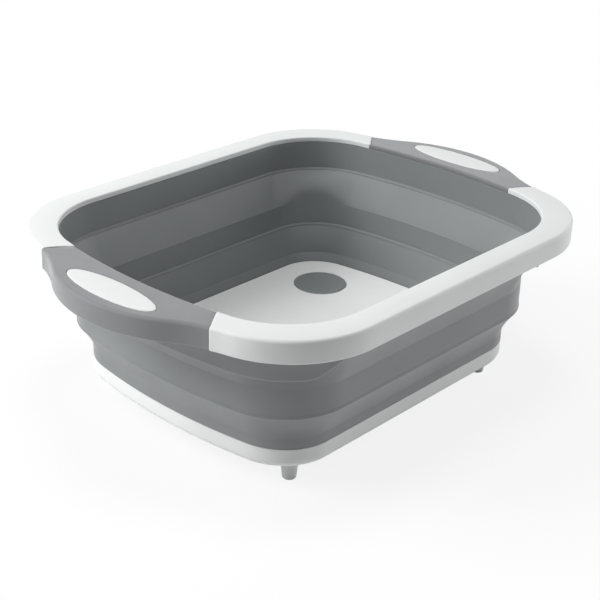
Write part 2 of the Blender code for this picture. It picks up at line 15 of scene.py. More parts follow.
import bmesh
import bpy
import numpy as np
from mathutils import Matrix, Vector


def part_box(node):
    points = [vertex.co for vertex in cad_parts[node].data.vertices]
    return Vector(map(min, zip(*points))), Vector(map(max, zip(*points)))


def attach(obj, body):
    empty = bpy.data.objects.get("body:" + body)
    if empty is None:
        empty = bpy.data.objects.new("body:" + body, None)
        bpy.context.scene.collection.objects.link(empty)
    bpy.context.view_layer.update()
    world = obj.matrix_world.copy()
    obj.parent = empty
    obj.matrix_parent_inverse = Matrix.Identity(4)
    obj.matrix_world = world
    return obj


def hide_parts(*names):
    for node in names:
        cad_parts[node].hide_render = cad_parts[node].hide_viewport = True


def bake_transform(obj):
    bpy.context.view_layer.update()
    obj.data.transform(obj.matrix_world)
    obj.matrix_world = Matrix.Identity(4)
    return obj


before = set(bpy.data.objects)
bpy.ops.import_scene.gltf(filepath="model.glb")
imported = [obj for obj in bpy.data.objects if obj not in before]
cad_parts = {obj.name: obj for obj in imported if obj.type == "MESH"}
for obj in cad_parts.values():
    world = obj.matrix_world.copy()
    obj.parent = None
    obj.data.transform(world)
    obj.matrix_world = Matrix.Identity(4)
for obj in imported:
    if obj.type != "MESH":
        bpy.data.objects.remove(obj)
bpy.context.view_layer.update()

MM = 0.001
QUARTER_TURN = math.pi / 2
SHARP_ANGLE = math.radians(32.0)
WELD_GAP = 0.002 * MM
SLIVER = 0.001 * MM
WALL_POINTS = 420
# Metres along a plan that go with one whole share, near the seams of the grips
SHARE_LENGTH = 1.2
LOG = logging.getLogger("basin")

Array = np.ndarray
Triple = tuple[float, float, float]


class Body(Enum):
    """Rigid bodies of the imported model."""

    BASE = "base"
    MIDDLE = "middle"
    RIM = "rim"
    PLUG = "plug"


class Side(Enum):
    """The two handles, by the direction in which each points along X."""

    RIGHT = 1
    LEFT = -1

    @property
    def word(self) -> str:
        """The side's name in lower case."""
        return self.name.lower()

    @property
    def middle(self) -> float:
        """Share of the way round a plan at which the handle has its middle."""
        return 0.0 if self is Side.RIGHT else 0.5


def node_low(name: str) -> Vector:
    """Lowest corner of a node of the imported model."""
    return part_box(name)[0]


def node_high(name: str) -> Vector:
    """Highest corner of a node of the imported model."""
    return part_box(name)[1]


def node_middle(name: str) -> Vector:
    """Middle of a node's box."""
    return (node_low(name) + node_high(name)) / 2


@dataclass(frozen=True)
class Arc:
    """One arc of a plan, seen from above.

    A hollow arc bulges into the outline, so its outward side faces its centre.
    """

    centre: tuple[float, float]
    radius: float
    start: float
    end: float
    hollow: bool = False

    def trace(self, count: int) -> tuple[Array, Array]:
        """Points on the arc and the outward direction at each.

        Args:
            count: number of points, ends included.

        Returns:
            Two arrays of shape (count, 2).
        """
        angles = np.linspace(self.start, self.end, count)
        ray = np.column_stack([np.cos(angles), np.sin(angles)])
        outward = -ray if self.hollow else ray
        return np.array(self.centre) + self.radius * ray, outward


@dataclass(frozen=True)
class Plan:
    """An outline seen from above, with the outward direction at each point."""

    points: Array
    outward: Array
    corner_focus: float = 2.2
    end_start: float = 0.15
    end_spread: float = 0.4

    @classmethod
    def from_quarter(cls, arcs: Sequence[Arc], fineness: int = 500) -> "Plan":
        """A closed plan that is alike in its four quarters.

        Args:
            arcs: the first quarter's arcs, from the X axis to the Y axis.
            fineness: points on each arc.

        Returns:
            A finely divided plan that ends on the point it starts from.
        """
        traced = [arc.trace(fineness) for arc in arcs]
        points = np.vstack([pair[0] for pair in traced])
        outward = np.vstack([pair[1] for pair in traced])
        on, back = slice(None), slice(None, None, -1)
        quarters = ((on, (1, 1)), (back, (-1, 1)), (on, (-1, -1)), (back, (1, -1)))
        return cls(
            np.vstack([points[order] * signs for order, signs in quarters]),
            np.vstack([outward[order] * signs for order, signs in quarters]),
        )

    @property
    def shares(self) -> Array:
        """Share of the way round at each point.

        Half of it counts length and half counts turning, so that round corners
        get more points than straight sides when it is divided evenly.

        Returns:
            One value for each point, from 0 to 1.
        """
        length = np.linalg.norm(np.diff(self.points, axis=0), axis=1)
        cross = np.cross(self.outward[:-1], self.outward[1:])
        turn = np.abs(np.arcsin(np.clip(cross, -1.0, 1.0)))
        steps = length / length.sum() + turn / turn.sum()
        return np.concatenate([[0.0], np.cumsum(steps)]) / 2

    def at(self, places: Array) -> "Plan":
        """The plan at given shares of the way round.

        Args:
            places: the shares, which may pass 0 or 1.

        Returns:
            A plan with one point for each share.
        """
        wrapped, shares = np.mod(places, 1.0), self.shares
        points, outward = (
            np.column_stack([np.interp(wrapped, shares, axis) for axis in values.T])
            for values in (self.points, self.outward)
        )
        return Plan(points, outward / np.linalg.norm(outward, axis=1, keepdims=True))

    def evenly(self, count: int) -> "Plan":
        """The whole plan in count points, without repeating the first."""
        return self.at(np.linspace(0.0, 1.0, count, endpoint=False))

    def sheet(self, insets: Array, heights: Array) -> Array:
        """Carries a section round the plan.

        A point of the sheet is the plan's point moved inwards by the inset, at
        the height of its row.

        Args:
            insets: one value for each row, or one for each row and point.
            heights: the same for heights.

        Returns:
            Grid of shape (rows, points, 3).
        """
        rows = len(insets)
        shape = (rows, len(self.points))
        inset = np.broadcast_to(np.reshape(insets, (rows, -1)), shape)
        height = np.broadcast_to(np.reshape(heights, (rows, -1)), shape)
        flat = self.points[None] - inset[..., None] * self.outward[None]
        return np.concatenate([flat, height[..., None]], axis=2)

    @property
    def cornerness(self) -> Array:
        """0 along the sides and 1 in the middle of a corner, by outward direction."""
        return np.abs(2 * self.outward[:, 0] * self.outward[:, 1]) ** self.corner_focus

    @property
    def endness(self) -> Array:
        """How far each point belongs to an end, as a smooth step of |X|.

        Returns:
            0 along the long sides and 1 from the corners on.
        """
        beyond = (np.abs(self.outward[:, 0]) - self.end_start) / self.end_spread
        share = np.clip(beyond, 0.0, 1.0)
        return share**2 * (3 - 2 * share)


def rounded(*corners: Triple, steps: int = 5) -> Array:
    """A closed section with its corners rounded.

    Each corner with a radius becomes an arc that touches both of its sides: the
    arc's centre lies on the corner's bisector, and its points are a fan of rays.

    Args:
        corners: (inset, height, radius) of each corner, in order round the section.
        steps: spans of each arc.

    Returns:
        Array of shape (points, 2) with insets and heights.
    """
    places = np.array([corner[:2] for corner in corners])
    stretches = []
    for number, (inset, height, radius) in enumerate(corners):
        here = np.array([inset, height])
        if radius <= 0:
            stretches.append(here[None])
            continue
        back = places[number - 1] - here
        ahead = places[(number + 1) % len(places)] - here
        back /= np.linalg.norm(back)
        ahead /= np.linalg.norm(ahead)
        half = math.acos(np.clip(back @ ahead, -1.0, 1.0)) / 2
        middle = (back + ahead) / np.linalg.norm(back + ahead)
        centre = here + middle * radius / math.sin(half)
        first = here + back * radius / math.tan(half) - centre
        last = here + ahead * radius / math.tan(half) - centre
        shares = np.linspace(0.0, 1.0, steps + 1)[:, None]
        rays = first * (1 - shares) + last * shares
        rays *= radius / np.linalg.norm(rays, axis=1, keepdims=True)
        stretches.append(centre + rays)
    return np.vstack(stretches)


def quarter_round(
    corner: Sequence[float],
    reach: Sequence[float],
    count: int,
    upright_first: bool = True,
) -> Array:
    """A round between the upright and the level face that meet at a corner.

    At a turn t, from 0 on the upright face to a right angle on the level one, a
    point is the corner moved by reach * (1 - cos t, 1 - sin t).

    Args:
        corner: inset and height of the sharp corner.
        reach: the way from there to the round's centre.
        count: number of points.
        upright_first: False where the line comes from the level face.

    Returns:
        Array of shape (count, 2) with insets and heights.
    """
    turn = np.linspace(0.0, QUARTER_TURN, count)
    if not upright_first:
        turn = turn[::-1]
    fan = np.column_stack([1 - np.cos(turn), 1 - np.sin(turn)])
    return np.array(corner) + np.array(reach) * fan


def full_turn(count: int) -> Array:
    """Angles that divide a whole turn evenly."""
    return np.linspace(0.0, 2 * math.pi, count, endpoint=False)


def turned(
    section: Array,
    centre: Sequence[float],
    angles: Array,
    half: tuple[float, float] = (0.0, 0.0),
) -> Array:
    """Carries a section round an upright axis, in circles or in ovals.

    A ring's half axes along X and Y are those of a plain oval plus the ring's
    growth. Without such an oval the growth is the radius of a circle.

    Args:
        section: growth and height of each ring.
        centre: X and Y of the axis.
        angles: places round each ring.
        half: half axes of the plain oval.

    Returns:
        Grid of shape (rings, angles, 3).
    """
    x = centre[0] + (half[0] + section[:, :1]) * np.cos(angles)
    y = centre[1] + (half[1] + section[:, :1]) * np.sin(angles)
    return np.stack([x, y, np.broadcast_to(section[:, 1:], x.shape)], axis=2)


@dataclass
class Mould:
    """Collects grids of points and turns them into one closed, smooth piece."""

    name: str
    points: list[Array] = field(default_factory=list)
    faces: list[list[int]] = field(default_factory=list)
    count: int = 0

    def grid(
        self, points: Array, closed_rows: bool = False, closed_columns: bool = True
    ) -> "Mould":
        """Adds a grid of quads.

        Each quad joins a point with its neighbours one column and one row on,
        and a closed direction runs on from its last point to its first.

        Args:
            points: the grid, of shape (rows, columns, 3).
            closed_rows: True where the last row joins the first.
            closed_columns: the same for columns.

        Returns:
            The mould itself.
        """
        rows, columns = points.shape[:2]
        row = np.arange(rows if closed_rows else rows - 1)[:, None]
        column = np.arange(columns if closed_columns else columns - 1)[None, :]
        row, column = np.broadcast_arrays(row, column)
        below, beside = (row + 1) % rows, (column + 1) % columns
        corners = ((row, column), (row, beside), (below, beside), (below, column))
        quads = np.stack([r * columns + c for r, c in corners], axis=-1) + self.count
        self.faces.extend(quads.reshape(-1, 4).tolist())
        self.points.append(points.reshape(-1, 3))
        self.count += rows * columns
        return self

    def cap(self, loop: Array) -> "Mould":
        """Adds one face across a closed loop.

        Args:
            loop: the loop's points.

        Returns:
            The mould itself.
        """
        self.faces.append((np.arange(len(loop)) + self.count).tolist())
        self.points.append(loop)
        self.count += len(loop)
        return self

    def tube(self, loops: Array) -> "Mould":
        """Adds a grid of closed loops, with a cap on the first and on the last."""
        return self.grid(loops).cap(loops[0]).cap(loops[-1])

    def make(self, open_sheet: bool = False) -> bpy.types.Object:
        """Welds the grids, turns faces outwards and shades round stretches smooth.

        Args:
            open_sheet: leaves the faces as they were wound, for a sheet that gets
                its thickness later.

        Returns:
            The new object, which sits at the origin with its place in its mesh.
        """
        mesh = bpy.data.meshes.new(self.name)
        mesh.from_pydata(np.vstack(self.points).tolist(), [], self.faces)
        shape = bmesh.new()
        shape.from_mesh(mesh)
        bmesh.ops.remove_doubles(shape, verts=shape.verts, dist=WELD_GAP)
        bmesh.ops.dissolve_degenerate(shape, edges=shape.edges, dist=SLIVER)
        if not open_sheet:
            bmesh.ops.recalc_face_normals(shape, faces=shape.faces)
        shape.to_mesh(mesh)
        shape.free()
        mesh.shade_smooth()
        mesh.set_sharp_from_angle(angle=SHARP_ANGLE)
        obj = bpy.data.objects.new(self.name, mesh)
        bpy.context.scene.collection.objects.link(obj)
        return obj


def closed_piece(name: str, sheet: Array) -> bpy.types.Object:
    """A piece from one grid whose rows and columns both close."""
    return Mould(name).grid(sheet, closed_rows=True).make()


def linear(hex_colour: str) -> tuple[float, float, float, float]:
    """Turns an sRGB hex colour into linear values with full opacity.

    Args:
        hex_colour: a hash sign and six digits.

    Returns:
        Red, green, blue and opacity.
    """
    parts = np.array([int(hex_colour[i : i + 2], 16) for i in (1, 3, 5)]) / 255
    low = parts / 12.92
    high = ((parts + 0.055) / 1.055) ** 2.4
    return (*np.where(parts <= 0.04045, low, high).tolist(), 1.0)


def add_node(
    tree: bpy.types.NodeTree, kind: str, settings: dict | None = None, **links: object
) -> bpy.types.Node:
    """Adds a node, sets its values and links its inputs.

    Args:
        tree: the node tree that gets the node.
        kind: the node's Blender type name.
        settings: attributes of the node, or values of its inputs by their names.
        links: output sockets, by input name with underscores for spaces.

    Returns:
        The new node.
    """
    node = tree.nodes.new(kind)
    for key, value in (settings or {}).items():
        if key in node.inputs:
            node.inputs[key].default_value = value
        else:
            setattr(node, key, value)
    for key, output in links.items():
        tree.links.new(output, node.inputs[key.replace("_", " ")])
    return node


@dataclass(frozen=True)
class MouldedPlastic:
    """A moulded plastic or soft elastomer.

    Two noises give it life: a fine grain from the mould's spark-eroded face,
    as bump, and slow clouds of flow, which shift colour and gloss a little.
    The clouds seldom pass their low and high values, which bound the gloss.
    """

    name: str
    slot: str
    colour: str
    cloud_colour: str
    roughness: float
    grain_size: float
    grain_depth: float
    cloud_size: float
    roughness_spread: float = 0.05
    ior: float = 1.5
    sheen: float = 0.0
    sheen_roughness: float = 0.3
    cloud_low: float = 0.2
    cloud_high: float = 0.8

    def material(self) -> bpy.types.Material:
        """Builds the material, once for each name.

        Returns:
            A material that reads Object coordinates, which are metres here.
        """
        found = bpy.data.materials.get(self.name)
        if found:
            return found
        material = bpy.data.materials.new(self.name)
        material.use_nodes = True
        tree = material.node_tree
        shader = tree.nodes["Principled BSDF"]
        shader.inputs["IOR"].default_value = self.ior
        shader.inputs["Sheen Weight"].default_value = self.sheen
        shader.inputs["Sheen Roughness"].default_value = self.sheen_roughness
        place = add_node(tree, "ShaderNodeTexCoord").outputs["Object"]
        flow = {"Scale": 1 / self.cloud_size, "Detail": 3.0, "Roughness": 0.55}
        clouds = add_node(tree, "ShaderNodeTexNoise", flow, Vector=place).outputs["Fac"]
        colour = add_node(tree, "ShaderNodeMix", {"data_type": "RGBA"}, Factor=clouds)
        colour.inputs[6].default_value = linear(self.colour)
        colour.inputs[7].default_value = linear(self.cloud_colour)
        tree.links.new(colour.outputs[2], shader.inputs["Base Color"])
        span = {
            "From Min": self.cloud_low,
            "From Max": self.cloud_high,
            "To Min": self.roughness - self.roughness_spread,
            "To Max": self.roughness + self.roughness_spread,
        }
        gloss = add_node(tree, "ShaderNodeMapRange", span, Value=clouds)
        tree.links.new(gloss.outputs["Result"], shader.inputs["Roughness"])
        pits = {"Scale": 1 / self.grain_size, "Detail": 2.0, "Roughness": 0.6}
        grain = add_node(tree, "ShaderNodeTexNoise", pits, Vector=place).outputs["Fac"]
        relief = {"Strength": 1.0, "Distance": self.grain_depth}
        bump = add_node(tree, "ShaderNodeBump", relief, Height=grain)
        tree.links.new(bump.outputs["Normal"], shader.inputs["Normal"])
        return material


# Polypropylene from a satin mould: an even white with a soft sheen.
WHITE_POLYPROPYLENE = MouldedPlastic(
    "moulded_white_polypropylene",
    "white_plastic",
    "#E4E7E6",
    "#DDE0DF",
    roughness=0.48,
    ior=1.47,
    grain_size=0.7 * MM,
    grain_depth=0.012 * MM,
    cloud_size=45 * MM,
)
# The board's face is textured against slipping: duller than the rim, with a
# grain that is drawn coarser than the real one so that it shows. Its white is
# lighter than the rim's, though the plastic is the same: painted light, which
# brightens the board's face down in the basin, and with it the flange, ribs and
# sockets that share this finish.
BOARD_POLYPROPYLENE_WITH_PAINTED_LIGHT = MouldedPlastic(
    "textured_white_polypropylene_with_painted_light",
    "white_plastic",
    "#EEF0EF",
    "#E7E9E8",
    roughness=0.55,
    roughness_spread=0.07,
    ior=1.47,
    grain_size=0.9 * MM,
    grain_depth=0.03 * MM,
    cloud_size=30 * MM,
)
# Thermoplastic elastomer of the folding wall: mid grey, with a low gloss that
# brightens where the wall is seen at a shallow angle.
WALL_ELASTOMER = MouldedPlastic(
    "moulded_grey_elastomer",
    "grey_wall",
    "#858889",
    "#7B7E7F",
    roughness=0.42,
    ior=1.58,
    grain_size=0.8 * MM,
    grain_depth=0.02 * MM,
    cloud_size=38 * MM,
)
# Overmoulded grip: nearly the wall's grey, a little warmer, with a peach-skin
# grain that pales where it is seen at a shallow angle.
GRIP_ELASTOMER = MouldedPlastic(
    "overmoulded_grip_elastomer",
    "grey_grip",
    "#848588",
    "#7C7E80",
    roughness=0.42,
    grain_size=0.6 * MM,
    grain_depth=0.03 * MM,
    cloud_size=25 * MM,
    sheen=0.9,
)
# Plug from a polished cavity: about as grey as the wall and the grips, glossier.
PLUG_ELASTOMER = MouldedPlastic(
    "polished_plug_elastomer",
    "grey_grip",
    "#858A8A",
    "#7B8081",
    roughness=0.32,
    roughness_spread=0.02,
    grain_size=0.6 * MM,
    grain_depth=0.01 * MM,
    cloud_size=25 * MM,
)


def dress(
    obj: bpy.types.Object,
    finish: MouldedPlastic,
    body: Body | tuple[Body, Body],
    replaces: Sequence[str] = (),
    bend: tuple[float, float] | None = None,
) -> None:
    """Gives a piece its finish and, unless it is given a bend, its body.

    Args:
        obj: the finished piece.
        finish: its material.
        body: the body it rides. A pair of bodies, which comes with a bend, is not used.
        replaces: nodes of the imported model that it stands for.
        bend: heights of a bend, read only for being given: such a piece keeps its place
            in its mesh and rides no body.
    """
    obj.data.materials.clear()
    obj.data.materials.append(finish.material())
    if bend:
        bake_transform(obj)
    else:
        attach(obj, body.value)
    if replaces:
        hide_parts(*replaces)
    LOG.info("%s: %d faces", obj.name, len(obj.data.polygons))


def opening_plan() -> Plan:
    """The opening: bowed short ends and straight long sides, joined by corner arcs.

    Returns:
        The plan from which the insets of the wall and the board are measured.
    """
    half_length = 148.2 * MM
    half_width = 121.15 * MM
    corner_radius = 58.4 * MM
    end_radius = 443.0 * MM
    end_centre = half_length - end_radius
    corner_y = half_width - corner_radius
    reach = end_radius - corner_radius
    corner_x = end_centre + math.sqrt(reach**2 - corner_y**2)
    turn = math.asin(corner_y / reach)
    return Plan.from_quarter(
        [
            Arc((end_centre, 0.0), end_radius, 0.0, turn),
            Arc((corner_x, corner_y), corner_radius, turn, QUARTER_TURN),
        ]
    )


def rim_plan() -> Plan:
    """The rim's outer edge: a handle arc, a hollow blend and a corner arc.

    The blend's centre lies where the blend touches both other arcs from outside.

    Returns:
        The plan of the skirt's outer face.
    """
    handle_radius = 97.0 * MM
    blend_radius = 111.7 * MM
    corner_radius = 66.9 * MM
    corner_x = 92.8 * MM
    handle = np.array([node_high("grip_right").x - handle_radius, 0.0])
    corner = np.array([corner_x, node_high("rim_frame").y - corner_radius])
    to_handle = handle_radius + blend_radius
    to_corner = corner_radius + blend_radius
    between = np.linalg.norm(corner - handle)
    along = (to_handle**2 - to_corner**2 + between**2) / (2 * between)
    aside = math.sqrt(to_handle**2 - along**2)
    ahead = (corner - handle) / between
    blend = handle + along * ahead + aside * np.array([ahead[1], -ahead[0]])
    handle_turn = math.atan2(*(blend - handle)[::-1])
    corner_turn = math.atan2(*(blend - corner)[::-1])
    blend_turns = (handle_turn + math.pi, corner_turn + math.pi)
    return Plan.from_quarter(
        [
            Arc(tuple(handle), handle_radius, 0.0, handle_turn),
            Arc(tuple(blend), blend_radius, *blend_turns, hollow=True),
            Arc(tuple(corner), corner_radius, corner_turn, QUARTER_TURN),
        ]
    )


@dataclass(frozen=True)
class RimCorner:
    """One corner of the rim's section, rounded between a level and an upright face.

    The corner is measured from the opening's edge or from the rim's outer edge.
    into is the direction of the arc's centre, and sink is the way the corner
    moves where the section is set in: both as (away from that edge, up).
    """

    from_rim: bool
    offset: float
    height: float
    radius: float
    into: tuple[int, int]
    sink: tuple[int, int]
    upright_first: bool


@dataclass
class Rim:
    """The white rim with its handles, the soft grips on them and the oval pads.

    The white ends are rounded at the seams: end_steps are places along the rim
    from a seam, and end_sinks are what the section is set in by at all but the
    last of them.
    """

    opening: Plan
    outer: Plan
    top: float = node_high("rim_frame").z
    bottom: float = node_low("rim_frame").z
    plate: float = 3.6 * MM
    skirt_wall: float = 2.6 * MM
    edge_radius: float = 2.3 * MM
    small_radius: float = 0.9 * MM
    opening_radius: float = 0.2 * MM
    core_sink: float = 1.75 * MM
    crown: float = 0.35 * MM
    core_points: int = 130
    side_points: int = 300
    frame_arc_points: int = 7
    top_rows: int = 8
    seam_half_width: float = 65.0 * MM
    seam_angle: float = math.radians(32.0)
    seam_gap: float = 0.25 * MM
    end_steps: tuple[float, ...] = (0.0, 0.12 * MM, 0.35 * MM, 0.7 * MM)
    end_sinks: tuple[float, ...] = (0.5 * MM, 0.2 * MM, 0.05 * MM)
    grip_sink: float = 0.35 * MM
    grip_skin: float = 1.3 * MM
    grip_hem: float = 1.1 * MM
    grip_bevel: float = 0.3 * MM
    grip_bevel_angle: float = math.radians(60.0)
    grip_points: int = 161
    seam_points: int = 24
    grip_arc_points: int = 8
    face_rows: int = 11
    window_length: float = 78.0 * MM
    window_width: float = 21.0 * MM
    window_radius: float = 0.6 * MM
    window_x: float = 168.5 * MM
    pad_radius: float = 0.8 * MM
    pad_sink: float = 0.15 * MM
    pad_depth: float = 3.0 * MM
    pad_points: int = 160
    pad_arc_points: int = 6
    dome_rows: int = 7

    def seam_shares(self) -> tuple[float, float]:
        """Shares of the way round the opening and the rim at the first seam.

        The seam is the line that leaves the opening at its half width and fans
        out by the seam's angle. Each plan crosses it where its distance from
        that line changes sign.

        Returns:
            The opening's share and the rim's share.
        """
        found = []
        first = self.opening.points[: len(self.opening.points) // 4]
        seam_x = np.interp(self.seam_half_width, first[:, 1], first[:, 0])
        slope = math.tan(self.seam_angle)
        for plan in (self.opening, self.outer):
            quarter = plan.points[: len(plan.points) // 4]
            seam_y = self.seam_half_width + (quarter[:, 0] - seam_x) * slope
            beyond = quarter[:, 1] - seam_y
            found.append(float(np.interp(0.0, beyond, plan.shares[: len(quarter)])))
        return found[0], found[1]

    def corners(self) -> list[RimCorner]:
        """The section's corners.

        Returns:
            Six corners, from the opening's lower edge up, out and round.
        """
        top, bottom, under = self.top, self.bottom, self.top - self.plate
        small, wall = self.small_radius, self.skirt_wall
        return [
            RimCorner(False, 0.0, under, self.opening_radius, (1, 1), (1, 0), False),
            RimCorner(False, 0.0, top, small, (1, -1), (1, -1), True),
            RimCorner(True, 0.0, top, self.edge_radius, (1, -1), (1, -1), False),
            RimCorner(True, 0.0, bottom, small, (1, 1), (1, 1), True),
            RimCorner(True, wall, bottom, small, (-1, 1), (1, 1), False),
            RimCorner(True, wall, under, small, (1, -1), (1, 0), True),
        ]

    def section_sheet(self, inner: Plan, outer: Plan, sink: Array) -> Array:
        """Carries the rim's section along a stretch of both plans.

        Every row moves inwards by its own share of the sink, so a sunk stretch
        is the same section set in. The top rises to its crown midway.

        Args:
            inner: the opening's plan along the stretch.
            outer: the rim's plan along it, in as many points.
            sink: how far the section is set in at each point.

        Returns:
            Grid of shape (rows, points, 3), a closed section in each column.
        """
        rows, count = [], self.frame_arc_points
        for corner in self.corners():
            plan, sign = (outer, 1.0) if corner.from_rim else (inner, -1.0)
            place = (corner.offset, corner.height)
            reach = tuple(corner.radius * way for way in corner.into)
            line = quarter_round(place, reach, count, corner.upright_first)
            offsets = line[:, :1] + corner.sink[0] * sink
            heights = line[:, 1:] + corner.sink[1] * sink
            rows.append(plan.sheet(sign * offsets, heights))
        share = np.linspace(0.0, 1.0, self.top_rows + 2)[1:-1, None, None]
        across = rows[1][-1] * (1 - share) + rows[2][0] * share
        across[..., 2] += self.crown * np.sin(math.pi * share[..., 0])
        rows.insert(2, across)
        return np.vstack(rows)

    def build_frame(self) -> None:
        """The white frame, closed all round.

        Between the seams of each handle its section is set in, to leave room
        for the grip, and each white end is rounded where it meets the grip.
        """
        steps = np.array(self.end_steps) / SHARE_LENGTH
        sinks = np.array(self.end_sinks)
        core = np.linspace(-1.0, 1.0, self.core_points)
        seams = self.seam_shares()
        places: tuple[list[Array], list[Array]] = ([], [])
        sink = []
        for side in Side:
            for found, seam in zip(places, seams):
                low, high = side.middle + seam, side.middle + 0.5 - seam
                even = np.linspace(low + steps[-1], high - steps[-1], self.side_points)
                found.append(side.middle + core * seam)
                found.extend([low + steps[:-1], even, high - steps[:-1][::-1]])
            sink.append(np.full(len(core), self.core_sink))
            sink.extend([sinks, np.zeros(self.side_points), sinks[::-1]])
        inner = self.opening.at(np.concatenate(places[0]))
        outer = self.outer.at(np.concatenate(places[1]))
        sheet = self.section_sheet(inner, outer, np.concatenate(sink))
        obj = closed_piece("white_rim_frame", sheet)
        dress(obj, WHITE_POLYPROPYLENE, Body.RIM, ["rim_frame"])

    def window(self, side: Side) -> tuple[Array, tuple[float, float]]:
        """Centre and half axes of the oval in a handle."""
        half = (self.window_width / 2, self.window_length / 2)
        return np.array([side.value * self.window_x, 0.0]), half

    def build_grip(self, side: Side) -> None:
        """A soft grip: a sheet over the handle, with its window, given thickness.

        The top runs from the oval to the border of the handle's face in even
        shares, each border point being joined to the oval's point of the same
        angle. Hems carry on from the border, over the outer edge and down the
        skirt, and over the opening's edge.

        Args:
            side: the handle that it covers.
        """
        seam_in, seam_out = self.seam_shares()
        gap = self.seam_gap / SHARE_LENGTH
        run = np.linspace(-1.0, 1.0, self.grip_points)
        inner = self.opening.at(side.middle + run * (seam_in - gap))
        outer = self.outer.at(side.middle + run * (seam_out - gap))
        sink, count = self.grip_sink, self.grip_arc_points
        top, low = self.top - sink, self.bottom + sink
        edge, small, hem_edge = self.edge_radius, self.small_radius, self.grip_hem
        brow = quarter_round((sink, top), (edge, -edge), count, upright_first=False)
        foot = quarter_round((sink, low), (small, small), count)
        over = np.vstack([brow, foot, (self.skirt_wall + self.core_sink, low)])
        reach = (-hem_edge, -hem_edge)
        inward = quarter_round((-sink, top), reach, count, upright_first=False)
        lip = np.vstack([inward, (-sink, self.top - self.plate)])
        skirt = outer.sheet(over[:, 0], over[:, 1])
        hem = inner.sheet(lip[:, 0], lip[:, 1])
        share = np.linspace(0.0, 1.0, self.seam_points + 2)[1:-1, None]
        far_end = skirt[0, -1] * (1 - share) + hem[0, -1] * share
        near_end = hem[0, 0] * (1 - share) + skirt[0, 0] * share
        border = np.vstack([skirt[0], far_end, hem[0][::-1], near_end])
        centre, half = self.window(side)
        away = (border[:, :2] - centre) / half
        angles = np.arctan2(away[:, 1], away[:, 0])
        radius = self.window_radius
        line = quarter_round((self.seam_gap, top), (radius, -radius), count)
        window = turned(line, centre, angles, half)
        share = np.linspace(0.0, 1.0, self.face_rows + 1)[1:, None, None]
        face = window[-1] * (1 - share) + border * share
        mould = Mould(f"soft_grip_{side.word}")
        mould.grid(np.vstack([window, face]))
        mould.grid(skirt, closed_columns=False)
        mould.grid(hem[:, ::-1], closed_columns=False)
        obj = mould.make(open_sheet=True)
        obj.data.flip_normals()
        wall = obj.modifiers.new("skin", "SOLIDIFY")
        wall.thickness = self.grip_skin
        wall.offset = -1.0
        wall.use_even_offset = True
        soften = obj.modifiers.new("soften", "BEVEL")
        soften.width = self.grip_bevel
        soften.segments = 2
        soften.limit_method = "ANGLE"
        soften.angle_limit = self.grip_bevel_angle
        dress(obj, GRIP_ELASTOMER, Body.RIM, [f"grip_{side.word}"])

    def build_pad(self, side: Side) -> None:
        """The white oval that stands up from the handle's core into the window.

        Concentric ovals rise to a low dome, and the edge is a quarter round.

        Args:
            side: the handle that it stands on.
        """
        top, radius = self.top - self.pad_sink, self.pad_radius
        edge = quarter_round((0.0, top), (-radius, -radius), self.pad_arc_points)
        line = np.vstack([(0.0, self.top - self.pad_depth), edge])
        centre, half = self.window(side)
        loops = turned(line, centre, full_turn(self.pad_points), half)
        share = np.linspace(0.0, 1.0, self.dome_rows + 2)[1:-1, None, None]
        dome = loops[-1] * (1 - share) + np.append(centre, top) * share
        dome[..., 2] += self.crown * np.sin(QUARTER_TURN * share[..., 0])
        obj = Mould(f"handle_pad_{side.word}").tube(np.vstack([loops, dome])).make()
        dress(obj, WHITE_POLYPROPYLENE, Body.RIM)

    def build(self) -> None:
        """Builds the frame, and a grip and a pad on each side."""
        self.build_frame()
        for side in Side:
            self.build_grip(side)
            self.build_pad(side)


@dataclass(frozen=True)
class FoldFace:
    """One face of a fold, from its lower end to its upper end.

    The inset leaves its low value for its high one as a power of the share of
    the height. The power grows from the straight sides to the corners.
    """

    low_inset: float
    high_inset: float
    side_power: float
    corner_power: float

    def insets(self, share: Array, cornerness: Array) -> Array:
        """Insets at shares of the height (down) and places round the plan (across)."""
        power = self.side_power + (self.corner_power - self.side_power) * cornerness
        return self.low_inset + (self.high_inset - self.low_inset) * share**power


